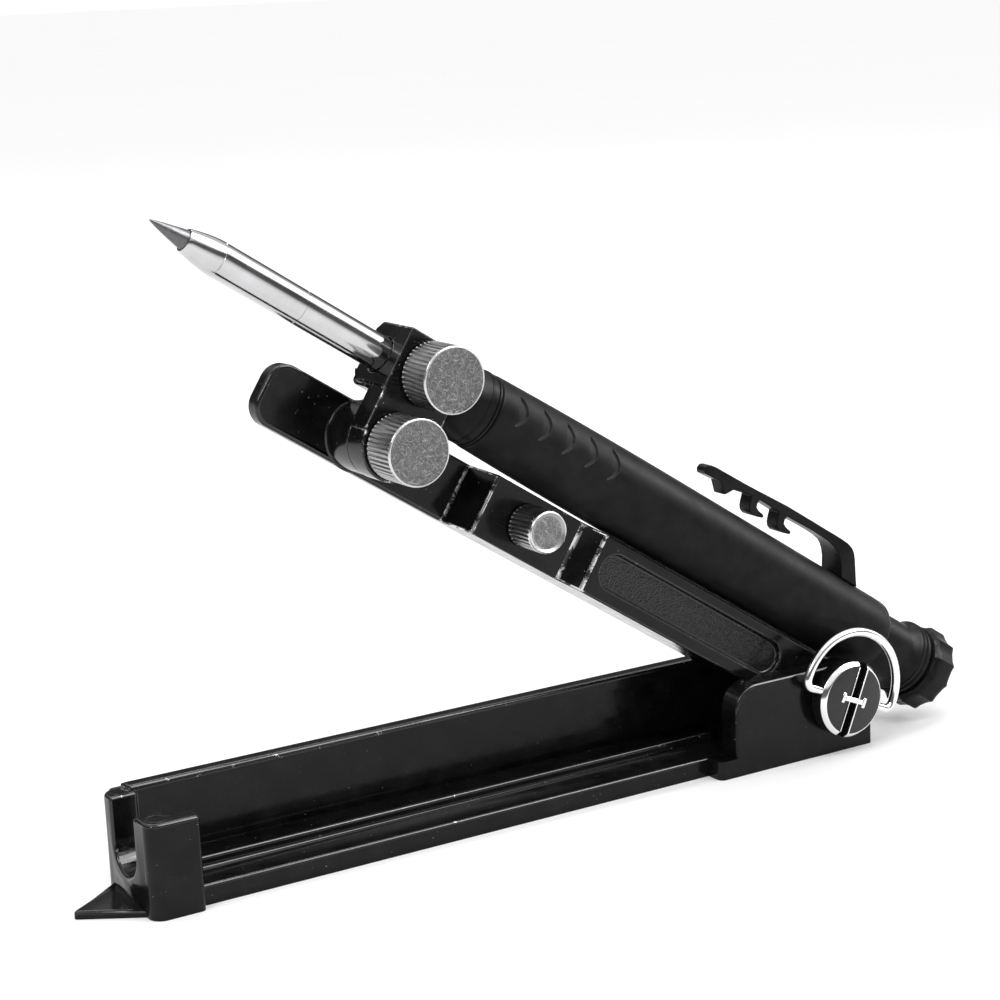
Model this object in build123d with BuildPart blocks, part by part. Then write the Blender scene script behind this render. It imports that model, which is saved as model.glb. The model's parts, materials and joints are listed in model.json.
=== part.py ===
from build123d import *
import os
from math import cos, radians, sin

# A folding scribing tool: a cast base channel lies on the surface, an arm opens from the hinge at
# its +X end, and a holder near the arm's free end carries a deep-hole mechanical pencil.
# Frame: the hinge axis runs along Y at x = 0, the underside of the base is z = 0, and the foot
# points along -X. The holder, the knobs and the screw head are on the -Y side. Millimetres.

# ---- driving dimensions ----
OPEN_DEG = 33.3              # arm opening at rest, from lying flat along the base
HINGE_Z = 9.3                # hinge axis above the underside
CLEAR = 0.05                 # radial clearance of a running fit

# base channel
BASE_FRONT_Y = -7.7          # outer face of the low front wall
BASE_REAR_Y = 8.0            # outer face of the tall rear wall
BASE_END_X = 6.5             # end behind the hinge
POST_X = -119.0              # end face with the slot
WALL_INNER_Y = 5.3           # inner face of the rear wall
WALL_TOP_Z = 14.9
WALL_X = -115.6              # where the wall runs into the rear post
LEDGE_Z = 3.0                # top of the low front wall
STRIP_Z = 4.5                # top of the raised strip
STRIP_Y = (-1.3, 4.3)        # its front and rear edges
STRIP_X = (-115.4, -17.0)
GUTTER_Z = 3.6               # shallow gutter between strip and rear wall
POST_TOP_Z = 13.9            # front post; the rear one is a little higher
REAR_POST_TOP_Z = 14.3
REAR_POST_R = 2.4            # its outer corner
POST_LEN = 4.3               # thickness of the slotted end along X
POST_FRONT_Y = -9.4
BUTTRESS_LEN = 3.6           # the thinner second lobe of the front post
BUTTRESS_BACK_Y = -6.2
SLOT_R = 4.0
SLOT_Z = 8.0                 # centre of the slot's round bottom
FOOT_TIP = (-127.8, -0.9)
FOOT_Y = (-6.6, 4.5)         # where the foot joins the end face
FOOT_T = 1.15
FOOT_TIP_R = 0.6
STEP_X = -24.0               # where the front side steps out to the ear
EAR_X = -20.8
EAR_Y = (-11.0, -7.2)
EAR_TOP_Z = 14.5
EAR_CORNER_R = 4.2
END_CORNER_R = 4.8
EAR_RELIEF = (5.6, 1.0)      # distance from the hinge axis and depth, clear of the pencil's barrel
CAST_R = 0.6                 # general edge rounding of the castings

# hinge
SHANK_R = 2.5
HEAD_R = 6.2
HEAD_Y = (-14.6, -11.3)
COIN_SLOT_W = 2.1
COIN_SLOT_DEPTH = 1.3
RING_TILT_DEG = -23.2        # direction of the ring's pivot line in the XZ plane
RING_Y = -13.0
RING_R = 9.3
RING_LEG = 1.6               # straight stretch between pivot line and half circle
RING_BEND_R = 1.3
WIRE_R = 0.72
INSERT_R = 3.6

# arm, along its own length U from the hinge and across V
ARM_V = (-4.95, 4.6)         # its two long edges
ARM_LEN = 110.0
ARM_REAR_Y = 5.0
BAR_Y = 2.0                  # front face of the thin bar and its end tab
MID_Y = -5.0                 # front face of the middle block
THICK_Y = -6.9               # front face of the thick hinge block
MID_U = (55.6, 73.0)         # its front face; a short slope runs on down to the bar
MID_SLOPE = 1.0
THICK_U = 52.2               # where the slope up to the thick block ends
TAB_CORNER_R = 3.2
RECESS_U = (11.2, 50.4)
RECESS_R = 2.7
RECESS_DEPTH = 0.9

# holder
PIVOT_U = 93.0
PIVOT_V = 0.4
BOSS_R = 5.2
BOSS_FRONT_Y = -4.25
PLATE_Y = (-8.9, -4.4)
PLATE_HALF = 5.6
LOBE_R = 5.3
PEN_V = 11.3                 # pencil axis above the hinge line
CLAMP_V = 11.6               # clamp knob and the middle of its block
PEN_Y = -3.7
BLOCK_HALF_V = 4.65
BLOCK_U = (87.4, 98.8)
BLOCK_REAR_Y = 0.9
BLOCK_CHAMFER = 1.3
LUG_U = (94.6, 98.6)
LUG_V = (6.4, 9.2)
LUG_Y = (-2.7, 0.9)
PIVOT_STUD_R = 2.0
CLAMP_STUD_R = 1.5

# knobs
KNOB_R = 4.85
KNOB_LEN = 6.7
KNOB_GROOVES = 44
KNOB_GAP = 0.2               # between a knob and the face it tightens on
THUMB_U = 64.9
THUMB_R = 3.25
THUMB_LEN = 6.2
THUMB_GROOVES = 30
GROOVE_W = 0.34
GROOVE_DEPTH = 0.26
RIM_CHAMFER = 0.35

# pencil, along U on its own axis
LEAD_R = 1.4
LEAD_TIP_U = 138.8
LEAD_BASE_U = 133.2
LEAD_END_U = 30.0
TUBE_R = 2.6
CONE_U = (127.7, 133.0)
CONE_TIP_R = 1.75
TUBE_STEP_U = 113.6
TUBE_END_U = 72.0
FERRULE_U = (70.0, 80.6, 87.0)   # spigot end, shoulder, front face
FERRULE_R = 5.75
FERRULE_NOSE_R = 3.7
BARREL_U = (-5.8, 80.3)
BARREL_R = (5.85, 6.35, 6.3)     # front, belly, rear
BARREL_BELLY_U = 45.0
BARREL_BORE_R = 4.0
SLEEVE_R = 5.1
SLEEVE_BORE_R = 5.16
SLEEVE_U = (-16.1, 12.0)
BORE_STEP_U = 24.0
PUSH_TRAVEL = 3.0
CAP_U = (-21.4, -16.6)
CAP_R = 7.0
FLUTES = 12
SPIGOT_R = 4.4
SPIGOT_U = -18.4
CLIP_HALF_W = 1.4            # the spring part; the root is wider
CLIP_ROOT_HALF_W = 2.6
SCALLOPS = 5
SCALLOP_U = (59.5, 4.6)          # first scallop and pitch

# ---- shared frames ----
OPEN = radians(OPEN_DEG)
U_DIR = (-cos(OPEN), 0, sin(OPEN))


def arm_plane(y, u=0.0, v=0.0):
    """Sketch plane facing +Y: its x runs along the arm, its y across it."""
    x = -u * cos(OPEN) + v * sin(OPEN)
    z = HINGE_Z + u * sin(OPEN) + v * cos(OPEN)
    return Plane(origin=(x, y, z), x_dir=U_DIR, z_dir=(0, 1, 0))


def pencil_plane():
    return arm_plane(PEN_Y, 0, PEN_V)


def pencil_axis():
    return Axis(pencil_plane().origin, U_DIR)


def hinge_plane(y):
    """Upright plane facing -Y at the hinge axis, its x along +X."""
    return Plane(origin=(0, y, HINGE_Z), x_dir=(1, 0, 0), z_dir=(0, -1, 0))


def finish(part, name, color):
    part.part.label = name
    part.part.color = Color(color)
    export_step(part.part, "parts/" + name + ".step")


os.makedirs("parts", exist_ok=True)

# ================= base =================
with BuildPart() as base_channel:
    # floor slab up to the ledge, with the step-out that carries the front ear
    with BuildSketch(Plane.XY):
        with BuildLine():
            Polyline(
                (POST_X + 2, BASE_FRONT_Y), (STEP_X, BASE_FRONT_Y), (STEP_X, EAR_Y[0]),
                (BASE_END_X, EAR_Y[0]), (BASE_END_X, BASE_REAR_Y), (POST_X + 2, BASE_REAR_Y), close=True)
        make_face()
        fillet([v for v in vertices() if abs(v.X - STEP_X) < CAST_R and v.Y < BASE_FRONT_Y - 1], 1.0)
    extrude(amount=LEDGE_Z)
    # gutter cut along the rear wall and the strip standing beside it
    with BuildSketch(Plane.XY.offset(LEDGE_Z)):
        with BuildLine():
            Polyline((STRIP_X[0], STRIP_Y[0]), (STRIP_X[1], STRIP_Y[0]),
                     (STRIP_X[1], STRIP_Y[1]), (STRIP_X[0], STRIP_Y[1]), close=True)
        make_face()
        fillet([v for v in vertices() if v.X > STRIP_X[0] + 1 and v.Y < 0], 2.4)
    extrude(amount=STRIP_Z - LEDGE_Z)
    with BuildSketch(Plane.XY.offset(LEDGE_Z)):
        with BuildLine():
            Polyline((STRIP_X[0], STRIP_Y[1]), (STRIP_X[1], STRIP_Y[1]),
                     (STRIP_X[1], WALL_INNER_Y), (STRIP_X[0], WALL_INNER_Y), close=True)
        make_face()
    extrude(amount=GUTTER_Z - LEDGE_Z)
    # rear wall, which is also the rear ear
    with BuildSketch(Plane.XZ.offset(-BASE_REAR_Y)):
        with BuildLine():
            Polyline((WALL_X, LEDGE_Z), (BASE_END_X, LEDGE_Z),
                     (BASE_END_X, WALL_TOP_Z), (WALL_X, WALL_TOP_Z), close=True)
        make_face()
        fillet([v for v in vertices() if v.X > 0 and v.Y > LEDGE_Z + 1], END_CORNER_R)
    extrude(amount=BASE_REAR_Y - WALL_INNER_Y)
    # front ear
    with BuildSketch(Plane.XZ.offset(-EAR_Y[1])):
        with BuildLine():
            Polyline((EAR_X, LEDGE_Z), (BASE_END_X, LEDGE_Z),
                     (BASE_END_X, EAR_TOP_Z), (EAR_X, EAR_TOP_Z), close=True)
        make_face()
        fillet([v for v in vertices() if v.X > 0 and v.Y > LEDGE_Z + 1], END_CORNER_R)
        fillet([v for v in vertices() if v.X < EAR_X + 1 and v.Y > LEDGE_Z + 1], EAR_CORNER_R)
    extrude(amount=EAR_Y[1] - EAR_Y[0])
    with BuildSketch(Plane.XZ.offset(-EAR_Y[1])):
        with BuildLine():
            Polyline((1, LEDGE_Z), (BASE_END_X, LEDGE_Z), (BASE_END_X, EAR_TOP_Z), (1, EAR_TOP_Z), close=True)
        make_face()
        with Locations((0, HINGE_Z)):
            Circle(EAR_RELIEF[0], mode=Mode.SUBTRACT)
    extrude(amount=EAR_RELIEF[1], mode=Mode.SUBTRACT)
    # slotted end: two posts joined below the slot
    with BuildSketch(Plane.XY):
        with BuildLine():
            Polyline((POST_X, POST_FRONT_Y), (POST_X + POST_LEN + BUTTRESS_LEN, POST_FRONT_Y),
                     (POST_X + POST_LEN + BUTTRESS_LEN, BUTTRESS_BACK_Y),
                     (POST_X + POST_LEN, BUTTRESS_BACK_Y), (POST_X + POST_LEN, BASE_REAR_Y),
                     (POST_X, BASE_REAR_Y), close=True)
        make_face()
        fillet([v for v in vertices() if v.Y < POST_FRONT_Y + 1 and v.X < POST_X + 1], 2.0)
        fillet([v for v in vertices() if v.Y < POST_FRONT_Y + 1 and v.X > POST_X + 6], 0.8)
        fillet([v for v in vertices() if v.Y > 1 and v.X < POST_X + 1], REAR_POST_R)
        fillet([v for v in vertices() if v.X > POST_X + POST_LEN + 1 and abs(v.Y - BUTTRESS_BACK_Y) < 0.5], 1.2)
    extrude(amount=POST_TOP_Z)
    with BuildSketch(Plane.XY):
        with BuildLine():
            Polyline((POST_X, 0), (POST_X + POST_LEN, 0), (POST_X + POST_LEN, BASE_REAR_Y),
                     (POST_X, BASE_REAR_Y), close=True)
        make_face()
        fillet([v for v in vertices() if v.Y > 1 and v.X < POST_X + 1], REAR_POST_R)
    extrude(amount=REAR_POST_TOP_Z)
    with BuildSketch(Plane.YZ.offset(POST_X)):
        with Locations((0, SLOT_Z)):
            Circle(SLOT_R)
        with Locations((0, SLOT_Z + SLOT_R)):
            Rectangle(2 * SLOT_R, 2 * SLOT_R)
    extrude(amount=POST_LEN, mode=Mode.SUBTRACT)
    # pointed foot
    with BuildSketch(Plane.XY):
        with BuildLine():
            Polyline(FOOT_TIP, (POST_X, FOOT_Y[0]), (POST_X + 1, FOOT_Y[0]),
                     (POST_X + 1, FOOT_Y[1]), (POST_X, FOOT_Y[1]), close=True)
        make_face()
        fillet([v for v in vertices() if v.X < POST_X - 5], FOOT_TIP_R)
    extrude(amount=FOOT_T)
    # hinge bores: clearance in the ear, a seat for the threaded insert in the rear wall
    with BuildSketch(Plane.XZ.offset(-EAR_Y[1])):
        with Locations((0, HINGE_Z)):
            Circle(SHANK_R + CLEAR)
    extrude(amount=EAR_Y[1] - EAR_Y[0], mode=Mode.SUBTRACT)
    with BuildSketch(Plane.XZ.offset(-BASE_REAR_Y)):
        with Locations((0, HINGE_Z)):
            Circle(INSERT_R)
    extrude(amount=BASE_REAR_Y - WALL_INNER_Y, mode=Mode.SUBTRACT)
    # rounded edges of the casting
    fillet(base_channel.edges().filter_by(
        lambda e: abs(e.center().Z - WALL_TOP_Z) < 0.05 and e.center().X > WALL_X + 1), CAST_R)
    fillet(base_channel.edges().filter_by(
        lambda e: abs(e.center().Y - EAR_Y[0]) < 0.05 and e.center().Z > LEDGE_Z + 0.5 and e.center().X > EAR_X - 0.1
        and not (e.geom_type == GeomType.CIRCLE and abs(e.radius - SHANK_R - CLEAR) < 0.01)), 0.5)
    fillet(base_channel.edges().filter_by(
        lambda e: abs(e.center().Z - POST_TOP_Z) < 0.05 and e.center().Y < 0), 0.5)
    fillet(base_channel.edges().filter_by(
        lambda e: abs(e.center().Z - LEDGE_Z) < 0.05 and abs(e.center().Y - BASE_FRONT_Y) < 0.05 and e.length > 50), 0.4)
finish(base_channel, "base_channel", 0x17181A)

with BuildPart() as hinge_insert:
    with BuildSketch(Plane.XZ.offset(-BASE_REAR_Y)):
        with Locations((0, HINGE_Z)):
            Circle(INSERT_R)
            Circle(SHANK_R + CLEAR, mode=Mode.SUBTRACT)
    extrude(amount=BASE_REAR_Y - WALL_INNER_Y)
finish(hinge_insert, "hinge_insert", 0xB8953F)

# ================= hinge screw and ring =================
RING_TILT = radians(RING_TILT_DEG)


def ring_plane(along=0.0, turned=False):
    """Plane through the ring's pivot line: its x runs along that line, or with turned it faces it."""
    line = (cos(RING_TILT), 0, sin(RING_TILT))
    origin = (along * line[0], RING_Y, HINGE_Z + along * line[2])
    if turned:
        return Plane(origin=origin, x_dir=(0, 1, 0), z_dir=line)
    return Plane(origin=origin, x_dir=line, z_dir=(0, -1, 0))


COIN_PLANE = Plane(origin=(0, HEAD_Y[0], HINGE_Z), x_dir=(cos(RING_TILT), 0, sin(RING_TILT)), z_dir=(0, -1, 0))
FACE_R = 5.3
FACE_T = 0.35
BRIDGE = (4.9, 1.3)
RING_HOLE_DEPTH = 1.6

with BuildPart() as hinge_screw:
    with BuildSketch(hinge_plane(HEAD_Y[1])):
        Circle(HEAD_R)
    extrude(amount=HEAD_Y[1] - HEAD_Y[0])
    chamfer(hinge_screw.edges().filter_by(lambda e: e.center().Y < HEAD_Y[0] + 0.1), 0.4)
    with BuildSketch(hinge_plane(HEAD_Y[1])):
        Circle(SHANK_R)
    extrude(amount=-(BASE_REAR_Y - 0.3 - HEAD_Y[1]))
    with BuildSketch(COIN_PLANE):
        Circle(FACE_R)
    extrude(amount=-FACE_T, mode=Mode.SUBTRACT)
    with BuildSketch(COIN_PLANE):
        Rectangle(COIN_SLOT_W, 2 * HEAD_R + 1)
        Rectangle(COIN_SLOT_W + 1, BRIDGE[1], mode=Mode.SUBTRACT)
    extrude(amount=-COIN_SLOT_DEPTH, mode=Mode.SUBTRACT)
    with BuildSketch(COIN_PLANE):
        Rectangle(*BRIDGE)
    extrude(amount=-FACE_T)
    for side in (-1, 1):
        with BuildSketch(ring_plane(side * HEAD_R, turned=True)):
            Circle(WIRE_R + CLEAR)
        extrude(amount=RING_HOLE_DEPTH, both=True, mode=Mode.SUBTRACT)
finish(hinge_screw, "hinge_screw", 0xC9CBCE)

with BuildPart() as screw_face:
    with BuildSketch(COIN_PLANE):
        Circle(FACE_R)
        Rectangle(COIN_SLOT_W, 2 * HEAD_R + 1, mode=Mode.SUBTRACT)
        Rectangle(*BRIDGE, mode=Mode.SUBTRACT)
    extrude(amount=-FACE_T)
finish(screw_face, "screw_face", 0x1C1D1F)

with BuildPart() as screw_washer:
    with BuildSketch(hinge_plane(EAR_Y[0] - 0.05)):
        Circle(4.9)
        Circle(SHANK_R + CLEAR, mode=Mode.SUBTRACT)
    extrude(amount=EAR_Y[0] - 0.05 - HEAD_Y[1])
finish(screw_washer, "screw_washer", 0xA9ACB0)

RING_END = HEAD_R - RING_HOLE_DEPTH + 0.3
with BuildPart() as d_ring:
    with BuildLine(ring_plane()):
        FilletPolyline((-RING_END, 0), (-RING_R, 0), (-RING_R, RING_LEG), radius=RING_BEND_R)
        ThreePointArc((-RING_R, RING_LEG), (0, RING_LEG + RING_R), (RING_R, RING_LEG))
        FilletPolyline((RING_R, RING_LEG), (RING_R, 0), (RING_END, 0), radius=RING_BEND_R)
    with BuildSketch(ring_plane(-RING_END, turned=True)):
        Circle(WIRE_R)
    sweep()
finish(d_ring, "d_ring", 0xD5D7DA)

# ================= arm =================
ROOT_R = (ARM_V[1] - ARM_V[0]) / 2
ROOT_V = (ARM_V[1] + ARM_V[0]) / 2
with BuildPart() as arm_bar:
    with BuildSketch(arm_plane(ARM_REAR_Y)):
        with BuildLine():
            Line((0, ARM_V[0]), (ARM_LEN, ARM_V[0]))
            Line((ARM_LEN, ARM_V[0]), (ARM_LEN, ARM_V[1]))
            Line((ARM_LEN, ARM_V[1]), (0, ARM_V[1]))
            ThreePointArc((0, ARM_V[1]), (-ROOT_R, ROOT_V), (0, ARM_V[0]))
        make_face()
        fillet([v for v in vertices() if v.X > ARM_LEN - 1], TAB_CORNER_R)
    extrude(amount=-(ARM_REAR_Y - BAR_Y))
    # the thicker middle and hinge blocks, with a slope between their front faces
    with BuildSketch(Plane(arm_plane(0, 0, ARM_V[0]).origin, x_dir=U_DIR, z_dir=(sin(OPEN), 0, cos(OPEN)))):
        with BuildLine():
            Polyline((0, -BAR_Y), (MID_U[1] + MID_SLOPE, -BAR_Y), (MID_U[1], -MID_Y), (MID_U[0], -MID_Y),
                     (THICK_U, -THICK_Y), (0, -THICK_Y), close=True)
        make_face()
    extrude(amount=ARM_V[1] - ARM_V[0])
    with BuildSketch(arm_plane(BAR_Y, 0, ROOT_V)):
        Circle(ROOT_R)
    extrude(amount=-(BAR_Y - THICK_Y))
    # holder boss
    with BuildSketch(arm_plane(BAR_Y, PIVOT_U, PIVOT_V)):
        Circle(BOSS_R)
    extrude(amount=-(BAR_Y - BOSS_FRONT_Y))
    # long shallow recess in the thick block's front face
    with BuildSketch(arm_plane(THICK_Y, sum(RECESS_U) / 2, 0)):
        SlotOverall(RECESS_U[1] - RECESS_U[0], 2 * RECESS_R)
    extrude(amount=RECESS_DEPTH, mode=Mode.SUBTRACT)
    # bores for the hinge screw, the pivot stud and the thumbscrew
    for u, v, radius in ((0, 0, SHANK_R), (PIVOT_U, PIVOT_V, PIVOT_STUD_R), (THUMB_U, 0, CLAMP_STUD_R)):
        with BuildSketch(arm_plane(ARM_REAR_Y, u, v)):
            Circle(radius + CLEAR)
        extrude(amount=-2 * (ARM_REAR_Y - THICK_Y), mode=Mode.SUBTRACT)
finish(arm_bar, "arm_bar", 0x151618)

WASHER_T = 0.24
WASHER_R = 4.5
for name, y in (("hinge_washer_front", THICK_Y), ("hinge_washer_rear", ARM_REAR_Y + WASHER_T)):
    with BuildPart() as washer:
        with BuildSketch(hinge_plane(y)):
            Circle(WASHER_R)
            Circle(SHANK_R + CLEAR, mode=Mode.SUBTRACT)
        extrude(amount=WASHER_T)
    finish(washer, name, 0xE6E2D6)


def knurled_outline(radius, grooves):
    """Circle with straight V grooves cut around it, drawn in the open sketch."""
    Circle(radius)
    with PolarLocations(radius, grooves):
        Polygon((0.1, -GROOVE_W / 2), (0.1, GROOVE_W / 2), (-GROOVE_DEPTH, 0), align=None, mode=Mode.SUBTRACT)


with BuildPart() as thumbscrew:
    with BuildSketch(arm_plane(MID_Y - KNOB_GAP, THUMB_U, 0)):
        knurled_outline(THUMB_R, THUMB_GROOVES)
    extrude(amount=-THUMB_LEN)
    with BuildSketch(arm_plane(MID_Y - KNOB_GAP - THUMB_LEN, THUMB_U, 0)):
        Circle(THUMB_R - 0.9)
    extrude(amount=0.35, mode=Mode.SUBTRACT)
    with BuildSketch(arm_plane(MID_Y - KNOB_GAP, THUMB_U, 0)):
        Circle(CLAMP_STUD_R)
    extrude(amount=ARM_REAR_Y - MID_Y)
finish(thumbscrew, "thumbscrew", 0xB4B6B9)

# ================= holder =================
with BuildPart() as holder_bracket:
    with BuildSketch(arm_plane(PLATE_Y[1], PIVOT_U, 0)):
        with Locations((0, (CLAMP_V + BLOCK_HALF_V + PIVOT_V) / 2)):
            Rectangle(2 * PLATE_HALF, CLAMP_V + BLOCK_HALF_V - PIVOT_V)
        with Locations((0, PIVOT_V)):
            Circle(LOBE_R)
    extrude(amount=-(PLATE_Y[1] - PLATE_Y[0]))
    # clamp block around the pencil
    with BuildSketch(arm_plane(BLOCK_REAR_Y, sum(BLOCK_U) / 2, CLAMP_V)):
        Rectangle(BLOCK_U[1] - BLOCK_U[0], 2 * BLOCK_HALF_V)
    extrude(amount=-(BLOCK_REAR_Y - PLATE_Y[0]))
    chamfer(holder_bracket.edges().filter_by(
        lambda e: abs(e.center().Y - BLOCK_REAR_Y) < 0.05 and abs(e.length - (BLOCK_U[1] - BLOCK_U[0])) < 0.1),
        BLOCK_CHAMFER)
    with BuildSketch(arm_plane(LUG_Y[1], sum(LUG_U) / 2, sum(LUG_V) / 2)):
        RectangleRounded(LUG_U[1] - LUG_U[0], LUG_V[1] - LUG_V[0], 0.8)
    extrude(amount=-(LUG_Y[1] - LUG_Y[0]))
    # bores for the pencil, the pivot stud and the clamp stud
    with BuildSketch(Plane(arm_plane(PEN_Y, BLOCK_U[0] - 2, PEN_V).origin, z_dir=U_DIR)):
        Circle(TUBE_R + 0.08)
    extrude(amount=BLOCK_U[1] - BLOCK_U[0] + 4, mode=Mode.SUBTRACT)
    with BuildSketch(arm_plane(PLATE_Y[1], PIVOT_U, PIVOT_V)):
        Circle(PIVOT_STUD_R + CLEAR)
    extrude(amount=-(PLATE_Y[1] - PLATE_Y[0]), mode=Mode.SUBTRACT)
    with BuildSketch(arm_plane(PLATE_Y[0], PIVOT_U, CLAMP_V)):
        Circle(CLAMP_STUD_R + CLEAR)
    extrude(amount=PEN_Y - PLATE_Y[0], mode=Mode.SUBTRACT)
finish(holder_bracket, "holder_bracket", 0x191A1C)

for name, v in (("pivot_knob", PIVOT_V), ("clamp_knob", CLAMP_V)):
    with BuildPart() as knob:
        with BuildSketch(arm_plane(PLATE_Y[0] - KNOB_GAP, PIVOT_U, v)):
            knurled_outline(KNOB_R, KNOB_GROOVES)
        extrude(amount=-KNOB_LEN)
    finish(knob, name, 0xB9BBBE)

BORE_END_Y = ARM_REAR_Y - 0.4
for name, radius, v, start_y, end_y in (
        ("pivot_stud", PIVOT_STUD_R, PIVOT_V, PLATE_Y[0] - KNOB_GAP, BORE_END_Y),
        ("clamp_stud", CLAMP_STUD_R, CLAMP_V, PLATE_Y[0] - KNOB_GAP, PEN_Y - TUBE_R - 0.55)):
    with BuildPart() as stud:
        with BuildSketch(arm_plane(start_y, PIVOT_U, v)):
            Circle(radius)
        extrude(amount=end_y - start_y)
    finish(stud, name, 0x9EA1A5)

with BuildPart() as clamp_pad:
    with BuildSketch(arm_plane(PEN_Y - TUBE_R - 0.55, PIVOT_U, CLAMP_V)):
        Circle(CLAMP_STUD_R - 0.15)
    extrude(amount=0.45)
finish(clamp_pad, "clamp_pad", 0xB8953F)

# ================= pencil =================


def spun(*points):
    """Solid of revolution about the pencil axis from (u, radius) points."""
    outline = Wire.make_polygon([(u, radius, 0) for u, radius in points], close=True)
    return Solid.revolve(Face(pencil_plane().from_local_coords(outline)), 360, pencil_axis())


with BuildPart() as nose_tube:
    groove = 0.14
    add(spun((TUBE_END_U, TUBE_R), (TUBE_STEP_U, TUBE_R), (TUBE_STEP_U, TUBE_R - groove),
         (TUBE_STEP_U + 0.5, TUBE_R - groove), (TUBE_STEP_U + 0.5, TUBE_R), (CONE_U[0], TUBE_R),
         (CONE_U[0] + 0.3, TUBE_R - 0.12), (CONE_U[1], CONE_TIP_R), (CONE_U[1], LEAD_R + CLEAR),
         (CONE_U[1] - 2.5, LEAD_R + CLEAR), (CONE_U[1] - 3.5, TUBE_R - 0.4), (TUBE_END_U, TUBE_R - 0.4)))
finish(nose_tube, "nose_tube", 0xBFC1C4)

with BuildPart() as ferrule:
    with BuildSketch(pencil_plane()):
        with BuildLine():
            Polyline((FERRULE_U[2], FERRULE_NOSE_R), (FERRULE_U[2], TUBE_R), (FERRULE_U[0], TUBE_R),
                     (FERRULE_U[0], BARREL_BORE_R), (BARREL_U[1], BARREL_BORE_R), (BARREL_U[1], FERRULE_R),
                     (FERRULE_U[1] + 1.2, FERRULE_R))
            ThreePointArc((FERRULE_U[1] + 1.2, FERRULE_R), (FERRULE_U[1] + 4.6, FERRULE_R - 0.75),
                          (FERRULE_U[2], FERRULE_NOSE_R))
        make_face()
    revolve(axis=pencil_axis())
finish(ferrule, "ferrule", 0x202124)

with BuildPart() as barrel:
    rear_round = 2.6
    with BuildSketch(pencil_plane()):
        with BuildLine():
            ThreePointArc((BARREL_U[1] - 0.5, BARREL_R[0]), (BARREL_BELLY_U, BARREL_R[1]),
                          (BARREL_U[0] + rear_round, BARREL_R[2]))
            ThreePointArc((BARREL_U[0] + rear_round, BARREL_R[2]),
                          (BARREL_U[0] + 0.6, BARREL_R[2] - 0.35), (BARREL_U[0], BARREL_R[2] - 0.9))
            Polyline((BARREL_U[0], BARREL_R[2] - 0.9), (BARREL_U[0], SLEEVE_BORE_R),
                     (BORE_STEP_U, SLEEVE_BORE_R), (BORE_STEP_U, BARREL_BORE_R), (BARREL_U[1], BARREL_BORE_R),
                     (BARREL_U[1], BARREL_R[0] - 0.5), (BARREL_U[1] - 0.5, BARREL_R[0]))
        make_face()
    revolve(axis=pencil_axis())
    # finger scallops on the two sides: slanted shallow scoops
    for side in (-1, 1):
        for i in range(SCALLOPS):
            u = SCALLOP_U[0] + i * SCALLOP_U[1]
            scoop = arm_plane(PEN_Y + side * 9.3, u, PEN_V + 1.4)
            with BuildSketch(Plane(origin=scoop.origin, x_dir=(0, 1, 0), z_dir=U_DIR)):
                Circle(3.6)
            extrude(amount=0.55, both=True, mode=Mode.SUBTRACT)
finish(barrel, "barrel", 0x1E1F22)


def hook(u):
    """Outline points of one hook below the clip, from its front root to its rear root."""
    return [(u, 10.1), (u - 0.4, 8.3), (u - 1.6, 7.5), (u - 3.9, 8.0), (u - 3.9, 8.5), (u - 2.4, 8.7),
            (u - 1.7, 9.2), (u - 1.8, 10.2)]


with BuildPart() as pocket_clip:
    with BuildSketch(pencil_plane().offset(-CLIP_HALF_W)):
        with BuildLine():
            Polyline((6.4, 11.05), (8.4, 11.6), (15.0, 11.75), (21.5, 11.7), (30.1, 11.2), (38.0, 11.05),
                     (39.3, 10.6), (39.0, 9.3), (35.4, 9.5), (33.9, 7.9), (32.4, 9.5),
                     *hook(28.9), *hook(22.5), (14.5, 10.45), (9.5, 9.9), (8.4, 9.7), (6.4, 9.7), close=True)
        make_face()
    extrude(amount=2 * CLIP_HALF_W)
    # wider root that runs down into the barrel
    with BuildSketch(pencil_plane().offset(-CLIP_ROOT_HALF_W)):
        with BuildLine():
            Polyline((2.2, 5.4), (5.1, 9.9), (6.4, 11.05), (8.4, 11.6), (11.5, 11.7),
                     (11.5, 10.3), (9.4, 9.9), (7.9, 9.0), (6.0, 5.4), close=True)
        make_face()
    extrude(amount=2 * CLIP_ROOT_HALF_W)
    add(barrel.part, mode=Mode.SUBTRACT)
    with BuildSketch(Plane(pencil_plane().origin, z_dir=U_DIR)):
        Circle(BARREL_R[2] - 0.2)
    extrude(amount=20, mode=Mode.SUBTRACT)
finish(pocket_clip, "pocket_clip", 0x1B1C1F)

with BuildPart() as lead:
    add(spun((LEAD_TIP_U, 0), (LEAD_END_U, 0), (LEAD_END_U, LEAD_R), (LEAD_BASE_U, LEAD_R),
             (LEAD_TIP_U - 0.3, 0.3), (LEAD_TIP_U - 0.08, 0.18)))
finish(lead, "lead", 0x6E6F72)

COLLET_U = (116.0, 126.0)
COLLET_R = TUBE_R - 0.4 - 0.08
LEAD_TUBE_R = (LEAD_R + 0.08, 1.9)
with BuildPart() as collet:
    add(spun((COLLET_U[0], LEAD_TUBE_R[0]), (COLLET_U[1], LEAD_TUBE_R[0]), (COLLET_U[1], COLLET_R),
         (COLLET_U[0], COLLET_R)))
    with BuildSketch(Plane(arm_plane(PEN_Y, COLLET_U[0] + 3, PEN_V).origin, z_dir=U_DIR)):
        with PolarLocations(COLLET_R, 3):
            Rectangle(2 * COLLET_R, 0.4)
        Circle(LEAD_R / 2, mode=Mode.SUBTRACT)
    extrude(amount=COLLET_U[1] - COLLET_U[0], mode=Mode.SUBTRACT)
finish(collet, "collet", 0xB8953F)

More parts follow.
